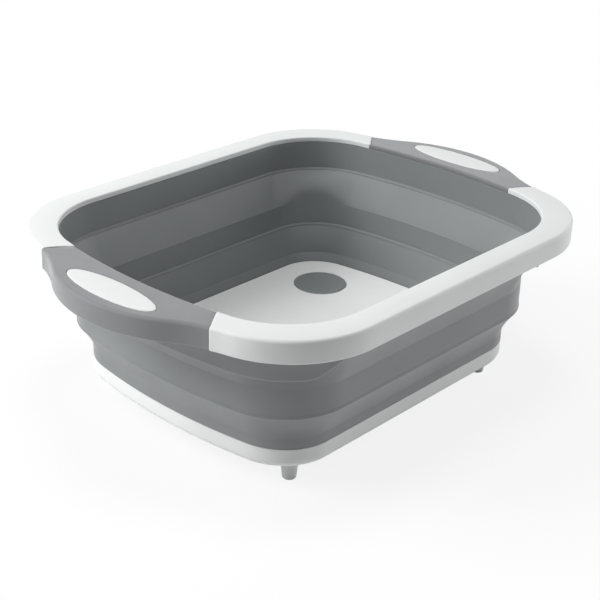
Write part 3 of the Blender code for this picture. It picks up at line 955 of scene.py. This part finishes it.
@dataclass
class FoldingWall:
    """The soft wall: bands that keep their shape and folds that turn inside out.

    A fold's ends reach into the bands by the overlap, or by half of it. Its faces
    lie within theirs there by the size called flush.
    """

    plan: Plan
    band_top: float = node_high("upper_band").z
    lip_bottom: float = node_low("upper_band").z
    ridge: float = node_high("upper_fold").z + 0.3 * MM
    middle_top: float = node_high("middle_band").z
    middle_bottom: float = node_low("middle_band").z
    collar_top: float = node_high("lower_collar").z
    collar_bottom: float = node_low("lower_collar").z
    board_top: float = node_high("base_board").z
    flange_width: float = 8.5 * MM
    flange: float = 2.0 * MM
    lip_proud: float = 1.9 * MM
    side_lip_drop: float = 1.6 * MM
    end_lip_drop: float = 1.8 * MM
    corner_lip: float = 0.06
    bead: float = 2.0 * MM
    middle_inset: float = 9.2 * MM
    middle_wall: float = 5.2 * MM
    collar_inset: float = 19.0 * MM
    collar_wall: float = 6.6 * MM
    collar_ledge: float = 4.0 * MM
    collar_foot: float = 1.5 * MM
    upstand_top: float = 28.6 * MM
    fold_step: float = 0.4 * MM
    fold_rows: int = 29
    overlap: float = 0.4 * MM
    flush: float = 0.05 * MM
    soft_edge: float = 0.4 * MM
    fine_edge: float = 0.25 * MM

    def upper_section(self, lip: float) -> Array:
        """The upper band's section, down its outside and up its inside.

        Args:
            lip: height at which the outer lip ends.

        Returns:
            Array of shape (points, 2) with insets and heights.
        """
        top, ridge, edge = self.band_top, self.ridge, self.soft_edge
        flange = top - self.flange
        bead = self.bead + 0.2 * MM
        return rounded(
            (-self.flange_width, top, edge),
            (-self.flange_width, flange, edge),
            (-self.lip_proud, flange, 1.5 * MM),
            (-1.7 * MM, lip + 4.5 * MM, 4.0 * MM),
            (-self.lip_proud, lip + 1.2 * MM, 1.0 * MM),
            (-1.5 * MM, lip, 0.35 * MM),
            (-0.1 * MM, lip, 0.35 * MM),
            (0.2 * MM, ridge - 0.8 * MM, 0.1 * MM),
            (bead, ridge - 0.7 * MM, 0.3 * MM),
            (bead, ridge + 0.5 * MM, edge),
            (0.0, ridge + 0.9 * MM, 0.6 * MM),
            (0.0, top, edge),
        )

    def build_upper_band(self) -> None:
        """The ring under the rim, with its flange, inner bead and outer lip.

        The lip hangs down at the ends, a little further at the corners, where
        the fold under it is drawn in, and rises to the bead's level along the
        long sides. The section is a mixture of both, by the plan's endness.
        """
        side = self.upper_section(self.ridge - self.side_lip_drop)
        end = self.upper_section(self.lip_bottom - self.end_lip_drop)
        share = self.plan.endness + self.corner_lip * self.plan.cornerness
        share = share[None, :, None]
        section = side[:, None] * (1 - share) + end[:, None] * share
        sheet = self.plan.sheet(section[..., 0], section[..., 1])
        obj = closed_piece("wall_upper_band", sheet)
        dress(obj, WALL_ELASTOMER, Body.RIM, ["upper_band"])

    def build_fold(
        self,
        word: str,
        bodies: tuple[Body, Body],
        bend: tuple[float, float],
        ends: tuple[float, float],
        outer: FoldFace,
        inner: FoldFace,
    ) -> None:
        """A fold's closed section, carried round the plan.

        Both faces start at the lower end and run up in even steps of height,
        each at its own insets.

        Args:
            word: upper or lower, as in the fold's node.
            bodies: the bodies at its lower and its upper end, which are not used.
            bend: heights of the bend, read only for being given: the fold keeps its
                place in its mesh and does not bend with the pose.
            ends: heights of its ends, which reach into the bands.
            outer: the face that shows outside.
            inner: the face that shows inside.
        """
        share = np.linspace(0.0, 1.0, self.fold_rows)[:, None]
        corner = self.plan.cornerness[None, :]
        inside = inner.insets(share, corner)
        outside = outer.insets(share, corner)
        height = np.broadcast_to(ends[0] + (ends[1] - ends[0]) * share, inside.shape)
        insets = np.vstack([inside, outside[::-1]])
        sheet = self.plan.sheet(insets, np.vstack([height, height[::-1]]))
        obj = closed_piece(f"wall_{word}_fold", sheet)
        dress(obj, WALL_ELASTOMER, bodies, [f"{word}_fold"], bend=bend)

    def build_folds(self) -> None:
        """The two folds, which lie between the bodies at their ends.

        Their faces run flush into the bands, but for a step at the middle
        band's foot. At the corners both are drawn in under their upper ends.
        """
        flush, overlap, band_outer = self.flush, self.overlap, self.middle_inset
        band_inner = band_outer + self.middle_wall
        collar_inner = self.collar_inset + self.collar_ledge
        foot_outer = band_outer - self.fold_step + flush
        foot_inner = band_inner + self.bead - flush
        self.build_fold(
            "upper",
            (Body.MIDDLE, Body.RIM),
            bend=(self.middle_top, self.ridge),
            ends=(self.middle_top - overlap, self.ridge),
            outer=FoldFace(band_outer + flush, 0.1 * MM, 1.12, 4.5),
            inner=FoldFace(band_inner - flush, self.bead - 0.1 * MM, 1.05, 3.3),
        )
        self.build_fold(
            "lower",
            (Body.BASE, Body.MIDDLE),
            bend=(self.collar_top, self.middle_bottom),
            ends=(self.collar_top - overlap, self.middle_bottom + overlap / 2),
            outer=FoldFace(self.collar_inset + flush, foot_outer, 1.5, 1.9),
            inner=FoldFace(collar_inner - flush, foot_inner, 1.3, 1.6),
        )

    def build_band(self, name: str, section: Array, body: Body) -> None:
        """A ring of one section, which stands for a node and rides a body."""
        sheet = self.plan.sheet(section[:, 0], section[:, 1])
        dress(closed_piece(f"wall_{name}", sheet), WALL_ELASTOMER, body, [name])

    def build_middle_band(self) -> None:
        """The stiff ring between the folds.

        Its inner foot has a bead. Its outer foot steps out to the lower fold's
        face, which gives the thin ledge that catches the light.
        """
        outer = self.middle_inset
        inner = outer + self.middle_wall
        low, high = self.middle_bottom, self.middle_top
        section = rounded(
            (outer - self.fold_step, low, 0.1 * MM),
            (outer - self.fold_step, low + 0.7 * MM, self.soft_edge),
            (outer, low + 2.3 * MM, 0.7 * MM),
            (outer, high, self.fine_edge),
            (inner, high, self.fine_edge),
            (inner, low + 1.9 * MM, 0.6 * MM),
            (inner + self.bead, low + 1.5 * MM, self.soft_edge),
            (inner + self.bead, low, 0.1 * MM),
        )
        self.build_band("middle_band", section, Body.MIDDLE)

    def build_lower_collar(self) -> None:
        """The ring moulded round the board's edge; inside, it slants to the board."""
        outer, foot = self.collar_inset, self.collar_inset + self.collar_foot
        inner = outer + self.collar_wall
        section = rounded(
            (foot, self.collar_bottom, 0.0),
            (foot, self.upstand_top, 0.1 * MM),
            (outer + 0.1 * MM, self.upstand_top + 0.1 * MM, self.soft_edge),
            (outer, self.collar_top, self.fine_edge),
            (outer + self.collar_ledge, self.collar_top, 0.3 * MM),
            (inner, self.board_top, 0.3 * MM),
            (inner, self.collar_bottom, 0.0),
        )
        self.build_band("lower_collar", section, Body.BASE)

    def build(self) -> None:
        """Builds the five rings, from the rim down."""
        self.build_upper_band()
        self.build_folds()
        self.build_middle_band()
        self.build_lower_collar()


@dataclass
class BaseBoard:
    """The white tray: board, flange, ribs, foot sockets and the drain's seat."""

    plan: Plan
    top: float = node_high("base_board").z
    bottom: float = node_low("base_board").z
    flange_top: float = node_low("lower_collar").z - 0.3 * MM
    upstand_top: float = 28.5 * MM
    upstand_step: float = 1.3 * MM
    flange_inset: float = 19.0 * MM
    flange_radius: float = 7.0 * MM
    board_inset: float = 25.9 * MM
    cavity_inset: float = 28.4 * MM
    cavity_radius: float = 1.0 * MM
    cavity_margin: float = 10.0 * MM
    plate: float = 3.2 * MM
    edge_steps: int = 9
    drain_radius: float = node_high("drain_plug").x / 2 - node_low("drain_plug").x / 2
    drain_edge: float = 0.5 * MM
    drain_arc_points: int = 5
    gap: float = 0.3 * MM
    bore_radius: float = 13.3 * MM
    bore_chamfer: float = 1.0 * MM
    recess_depth: float = 3.5 * MM
    boss_wall: float = 3.2 * MM
    boss_depth: float = 10.0 * MM
    boss_fillet: float = 0.8 * MM
    boss_edge: float = 0.4 * MM
    rib_count: int = 3
    rib_pitch: float = 34.0 * MM
    rib_wall: float = 1.8 * MM
    rib_draft: float = 0.3 * MM
    rib_recess: float = 1.5 * MM
    rib_sunk: float = 0.5 * MM
    rib_overlap: float = 1.0 * MM
    socket_bore: float = 3.5 * MM
    socket_radius: float = 7.1 * MM
    socket_sunk: float = 0.3 * MM
    socket_points: int = 48
    spigot_radius: float = 3.2 * MM
    foot_radius: float = 5.9 * MM
    tip_radius: float = 4.6 * MM
    tip_cap: float = 0.4 * MM
    foot_gap: float = 0.2 * MM
    foot_points: int = 64

    @property
    def drain(self) -> tuple[float, float]:
        """Middle of the drain, from the plug's node."""
        middle = node_middle("drain_plug")
        return middle.x, middle.y

    def build_tray(self) -> None:
        """The tray as one closed sheet that passes through the drain's bore.

        Rings about the drain run up through the bore and out over its recess.
        From there the board's face spreads to the plan, point by point along
        rays from the drain, and the sheet goes down the flange, back under the
        board and down the drain's boss to where it began.
        """
        away = self.plan.points - np.array(self.drain)
        angles = np.arctan2(away[:, 1], away[:, 0])
        top, low, bore = self.top, self.bottom, self.bore_radius
        recess = self.drain_radius + self.gap
        floor = top - self.recess_depth
        boss = recess + self.boss_wall
        under = top - self.plate
        boss_low = under - self.boss_depth
        lip, fillet, edge = self.drain_edge, self.boss_fillet, self.boss_edge
        up = np.vstack(
            [
                (bore, boss_low + self.bore_chamfer),
                (bore, floor - lip),
                (bore + lip, floor),
                (recess - lip, floor),
                (recess, floor + lip),
                quarter_round((recess, top), (lip, -lip), self.drain_arc_points),
            ]
        )
        upstand = self.flange_inset + self.upstand_step
        outline = rounded(
            (self.board_inset, top, 0.9 * MM),
            (self.board_inset, self.flange_top, 0.0),
            (upstand, self.flange_top, 0.2 * MM),
            (upstand, self.upstand_top, 0.2 * MM),
            (self.flange_inset, self.upstand_top, 0.4 * MM),
            (self.flange_inset, low, self.flange_radius),
            (self.cavity_inset, low, 0.6 * MM),
            (self.cavity_inset, under, self.cavity_radius),
            (self.cavity_inset + self.cavity_margin, under, 0.0),
            (self.cavity_inset + self.cavity_margin, top, 0.0),
            steps=self.edge_steps,
        )[:-1]
        down = np.array(
            [
                (boss + fillet, under),
                (boss, under - fillet),
                (boss, boss_low + edge),
                (boss - edge, boss_low),
                (bore + edge, boss_low),
            ]
        )
        skirt = self.plan.sheet(outline[:, 0], outline[:, 1])
        rings_up, rings_down = (turned(line, self.drain, angles) for line in (up, down))
        obj = closed_piece("board_tray", np.vstack([rings_up, skirt, rings_down]))
        # The tray's white is lighter than the rim's: painted light for the board's face
        # down in the basin.
        dress(obj, BOARD_POLYPROPYLENE_WITH_PAINTED_LIGHT, Body.BASE, ["base_board"])

    def rib_spans(self, places: Array, along_x: bool) -> list[Triple]:
        """Where each rib runs: its place, and both ends of each clear stretch.

        A rib reaches the cavity's wall at both ends, and stops on both sides of
        the drain's boss where its line crosses the boss.

        Args:
            places: the ribs' distances from the middle.
            along_x: True for ribs that run along X.

        Returns:
            (place, start, end) of each stretch.
        """
        wall = self.plan.sheet([self.cavity_inset - self.rib_overlap], [0.0])[0]
        quarter = wall[(wall[:, 0] >= 0) & (wall[:, 1] >= 0)]
        run, side = (0, 1) if along_x else (1, 0)
        order = np.argsort(quarter[:, side])
        reach = np.interp(np.abs(places), quarter[order, side], quarter[order, run])
        radius = self.drain_radius + self.gap + self.boss_wall - self.rib_overlap
        spans = []
        for place, half in zip(places.tolist(), reach.tolist()):
            off = place - self.drain[side]
            if abs(off) >= radius:
                spans.append((place, -half, half))
                continue
            cut = math.sqrt(radius**2 - off**2)
            spans.append((place, -half, self.drain[run] - cut))
            spans.append((place, self.drain[run] + cut, half))
        return spans

    def build_ribs(self) -> None:
        """Crossed ribs under the board, each a tapered bar.

        A bar's section narrows downwards by the mould's draft, and its two end
        rings are the same section at both ends of its span.
        """
        high = self.top - self.plate + self.rib_sunk
        low = self.bottom + self.rib_recess
        thick, thin = self.rib_wall / 2, self.rib_wall / 2 - self.rib_draft
        section = np.array([(-thick, high), (-thin, low), (thin, low), (thick, high)])
        mould = Mould("board_ribs")
        half = (np.arange(self.rib_count) + 0.5) * self.rib_pitch
        places = np.concatenate([-half[::-1], half])
        for along_x in (True, False):
            for place, start, end in self.rib_spans(places, along_x):
                bar = np.empty((2, len(section), 3))
                bar[..., 0 if along_x else 1] = np.array([[start], [end]])
                bar[..., 1 if along_x else 0] = place + section[:, 0]
                bar[..., 2] = section[:, 1]
                mould.tube(bar)
        dress(mould.make(), BOARD_POLYPROPYLENE_WITH_PAINTED_LIGHT, Body.BASE)

    def build_socket(self, name: str) -> None:
        """The boss that holds a foot: a tube that hangs from the board.

        Args:
            name: the foot's node.
        """
        inner, outer = self.socket_bore, self.socket_radius
        high = self.top - self.plate + self.socket_sunk
        section = rounded(
            (inner, self.bottom, 0.3 * MM),
            (outer, self.bottom, 0.5 * MM),
            (outer, high, 0.0),
            (inner, high, 0.0),
        )
        tube = turned(section, node_middle(name), full_turn(self.socket_points))
        obj = closed_piece(name.replace("foot", "socket"), tube)
        dress(obj, BOARD_POLYPROPYLENE_WITH_PAINTED_LIGHT, Body.BASE)

    def build_foot(self, name: str) -> None:
        """A tapered peg with a rounded tip, and the spigot that holds it.

        Args:
            name: the foot's node.
        """
        shoulder = self.bottom - self.foot_gap
        spigot_top = node_high(name).z
        section = rounded(
            (self.tip_cap, spigot_top, 0.0),
            (self.spigot_radius, spigot_top, 0.5 * MM),
            (self.spigot_radius, shoulder, 0.0),
            (self.foot_radius, shoulder, 0.5 * MM),
            (self.tip_radius, 0.0, 0.7 * MM),
            (self.tip_cap, 0.0, 0.0),
        )
        loops = turned(section, node_middle(name), full_turn(self.foot_points))
        obj = Mould("peg_" + name).tube(loops).make()
        dress(obj, WHITE_POLYPROPYLENE, Body.BASE, [name])

    def build(self) -> None:
        """Builds the tray, its ribs, and a socket and a foot at each corner."""
        self.build_tray()
        self.build_ribs()
        for name in sorted(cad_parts):
            if name.startswith("foot_"):
                self.build_socket(name)
                self.build_foot(name)


@dataclass
class DrainPlug:
    """The plug: a dished cap with a rolled rim over a hollow stem."""

    top: float = node_high("drain_plug").z
    bottom: float = node_low("drain_plug").z
    radius: float = (node_high("drain_plug").x - node_low("drain_plug").x) / 2
    cap: float = 3.2 * MM
    dish: float = 1.7 * MM
    dish_power: float = 2.6
    dish_points: int = 14
    rim_width: float = 2.4 * MM
    stem_radius: float = 13.0 * MM
    stem_wall: float = 3.4 * MM
    stem_draft: float = 0.8 * MM
    stem_round: float = 0.8 * MM
    turn_points: int = 120

    def build(self) -> None:
        """Turns the plug's section about its axis.

        The dish is a shallow bowl: its depth falls off as a power of the
        distance from the middle. The rest is a rounded section.
        """
        top, under, low = self.top, self.top - self.cap, self.bottom
        stem, bore = self.stem_radius, self.stem_radius - self.stem_wall
        bowl = self.radius - self.rim_width
        share = np.linspace(0.0, 1.0, self.dish_points)
        depth = self.dish * (1 - share**self.dish_power)
        dished = np.column_stack([bowl * share, top - depth])
        rest = rounded(
            (bowl, top, 0.0),
            (bowl + 0.4 * MM, top + 0.15 * MM, 0.0),
            (self.radius, top, 1.0 * MM),
            (self.radius, under, 0.4 * MM),
            (stem, under, 0.5 * MM),
            (stem - self.stem_draft, low, self.stem_round),
            (bore, low, self.stem_round),
            (bore, under, 1.0 * MM),
            (0.0, under, 0.0),
        )
        section = np.vstack([dished[:-1], rest])
        loops = turned(section, node_middle("drain_plug"), full_turn(self.turn_points))
        obj = Mould("dished_drain_plug").grid(loops).make()
        dress(obj, PLUG_ELASTOMER, Body.PLUG, ["drain_plug"])


@dataclass(frozen=True)
class Lamp:
    """A soft rectangular lamp, in metres and watts."""

    name: str
    place: Triple
    size: tuple[float, float]
    power: float


@dataclass
class Studio:
    """A white sweep, soft lamps and the camera of the expanded view."""

    azimuth: float = math.radians(-47.69)
    elevation: float = math.radians(25.74)
    roll: float = math.radians(1.73)
    distance: float = 914.6 * MM
    focal_pixels: float = 1320.0
    picture_pixels: float = 600.0
    sensor: float = 36.0
    nearest: float = 10.0 * MM
    aim_height: float = 64.0 * MM
    aim_x: float = 302.7
    aim_y: float = 295.4
    lamps: tuple[Lamp, ...] = (
        Lamp("overhead", (0.0, 0.0, 1.8), (0.6, 0.6), 12.5),
        Lamp("upper_left", (-1.22, 1.1, 1.3), (1.0, 1.0), 37.0),
        Lamp("left_back", (-1.2, 1.2, 0.6), (1.0, 0.8), 6.5),
        Lamp("right_end", (1.45, -0.75, 0.5), (0.8, 0.7), 6.0),
        Lamp("right_low", (1.3, -0.9, 0.2), (1.0, 0.3), 7.5),
    )
    sky: float = 0.02
    floor_reach: float = 6.0
    paper_roughness: float = 0.9
    paper_grain: float = 2.5 * MM
    paper_darkest: float = 0.9
    paper_lightest: float = 0.92
    shadow_start: float = 0.12
    shadow_end: float = 0.55
    least_plain: float = 0.85

    def add_camera(self) -> None:
        """Puts the camera where the photograph's was.

        The point on the basin's axis at the aim height lands at aim_x, aim_y,
        in pixels from the picture's upper left corner, so the camera is moved
        sideways and down by that offset's size at the basin's distance.
        """
        back = Vector(
            (
                math.sin(self.azimuth) * math.cos(self.elevation),
                -math.cos(self.azimuth) * math.cos(self.elevation),
                math.sin(self.elevation),
            )
        )
        level = Vector((math.cos(self.azimuth), math.sin(self.azimuth), 0.0))
        upright = back.cross(level)
        right = level * math.cos(self.roll) + upright * math.sin(self.roll)
        up = upright * math.cos(self.roll) - level * math.sin(self.roll)
        pixel = self.distance / self.focal_pixels
        centre = self.picture_pixels / 2
        aim = Vector((0.0, 0.0, self.aim_height))
        aim -= right * (self.aim_x - centre) * pixel
        aim += up * (self.aim_y - centre) * pixel
        camera = bpy.data.objects.new("camera", bpy.data.cameras.new("camera"))
        camera.data.sensor_width = self.sensor
        camera.data.lens = self.focal_pixels / self.picture_pixels * self.sensor
        camera.data.clip_start = self.nearest
        place = Matrix((right, up, back)).transposed().to_4x4()
        place.translation = aim + back * self.distance
        camera.matrix_world = place
        bpy.context.scene.collection.objects.link(camera)
        bpy.context.scene.camera = camera

    def add_lamp(self, lamp: Lamp) -> None:
        """Adds a lamp that points at the basin.

        It gives no reflection of its own: glossy faces show the white sweep.

        Args:
            lamp: its name, place, size and power.
        """
        data = bpy.data.lights.new(lamp.name, "AREA")
        data.shape = "RECTANGLE"
        data.size, data.size_y = lamp.size
        data.energy = lamp.power
        obj = bpy.data.objects.new(lamp.name, data)
        obj.visible_glossy = False
        obj.location = lamp.place
        aim = Vector((0.0, 0.0, self.aim_height)) - obj.location
        obj.rotation_euler = aim.to_track_quat("-Z", "Y").to_euler()
        bpy.context.scene.collection.objects.link(obj)

    @staticmethod
    def plainly_seen(tree: bpy.types.NodeTree) -> bpy.types.NodeSocket:
        """Tells what the camera sees, itself or in a reflection.

        Args:
            tree: the node tree that gets the nodes.

        Returns:
            An output that is 1 on such rays and 0 on all others.
        """
        path = add_node(tree, "ShaderNodeLightPath").outputs
        seen = add_node(tree, "ShaderNodeMath", {"operation": "MAXIMUM"})
        tree.links.new(path["Is Camera Ray"], seen.inputs[0])
        tree.links.new(path["Is Glossy Ray"], seen.inputs[1])
        return seen.outputs[0]

    def add_world(self) -> None:
        """A dim sky that shows as plain white to the camera and in reflections."""
        world = bpy.data.worlds.new("white_sweep")
        bpy.context.scene.world = world
        world.use_nodes = True
        tree = world.node_tree
        seen = self.plainly_seen(tree)
        span = {"To Min": self.sky, "To Max": 1.0}
        glow = add_node(tree, "ShaderNodeMapRange", span, Value=seen).outputs["Result"]
        background = tree.nodes["Background"]
        background.inputs["Color"].default_value = linear("#FFFFFF")
        tree.links.new(glow, background.inputs["Strength"])

    def add_floor(self) -> None:
        """A floor of dull white paper that takes the basin's soft shadow.

        The camera sees it mostly as plain white, and wholly so away from the
        basin, by a smooth step of the distance from the origin.
        """
        mesh = bpy.data.meshes.new("floor")
        far = self.floor_reach
        corners = [(-far, -far, 0), (far, -far, 0), (far, far, 0), (-far, far, 0)]
        mesh.from_pydata(corners, [], [(0, 1, 2, 3)])
        floor = bpy.data.objects.new("floor", mesh)
        bpy.context.scene.collection.objects.link(floor)
        material = bpy.data.materials.new("white_paper_floor")
        material.use_nodes = True
        tree = material.node_tree
        shader = tree.nodes["Principled BSDF"]
        shader.inputs["Roughness"].default_value = self.paper_roughness
        shader.inputs["Specular IOR Level"].default_value = 0.0
        place = add_node(tree, "ShaderNodeTexCoord").outputs["Object"]
        fibre = {"Scale": 1 / self.paper_grain}
        grain = add_node(tree, "ShaderNodeTexNoise", fibre, Vector=place).outputs["Fac"]
        span = {"To Min": self.paper_darkest, "To Max": self.paper_lightest}
        tint = add_node(tree, "ShaderNodeMapRange", span, Value=grain).outputs["Result"]
        tree.links.new(tint, shader.inputs["Base Color"])
        away = add_node(tree, "ShaderNodeVectorMath", {"operation": "LENGTH"})
        tree.links.new(place, away.inputs[0])
        fade = {
            "interpolation_type": "SMOOTHSTEP",
            "From Min": self.shadow_start,
            "From Max": self.shadow_end,
            "To Min": self.least_plain,
            "To Max": 1.0,
        }
        plain = add_node(tree, "ShaderNodeMapRange", fade, Value=away.outputs["Value"])
        share = add_node(tree, "ShaderNodeMath", {"operation": "MULTIPLY"})
        tree.links.new(self.plainly_seen(tree), share.inputs[0])
        tree.links.new(plain.outputs["Result"], share.inputs[1])
        white = add_node(tree, "ShaderNodeEmission", {"Color": linear("#FFFFFF")})
        mix = add_node(tree, "ShaderNodeMixShader", Fac=share.outputs[0])
        tree.links.new(shader.outputs[0], mix.inputs[1])
        tree.links.new(white.outputs[0], mix.inputs[2])
        tree.links.new(mix.outputs[0], tree.nodes["Material Output"].inputs["Surface"])
        mesh.materials.append(material)

    def build(self) -> None:
        """Sets the camera, the lamps, the sky and the floor."""
        self.add_camera()
        for lamp in self.lamps:
            self.add_lamp(lamp)
        self.add_world()
        self.add_floor()
        bpy.context.scene.view_settings.view_transform = "Standard"


def main() -> None:
    """Builds the basin from the rim down, then the studio."""
    logging.basicConfig(level=logging.INFO, format="%(message)s")
    opening = opening_plan()
    wall_plan = opening.evenly(WALL_POINTS)
    Rim(opening, rim_plan()).build()
    FoldingWall(wall_plan).build()
    BaseBoard(wall_plan).build()
    DrainPlug().build()
    Studio().build()


if __name__ == "__main__":
    main()
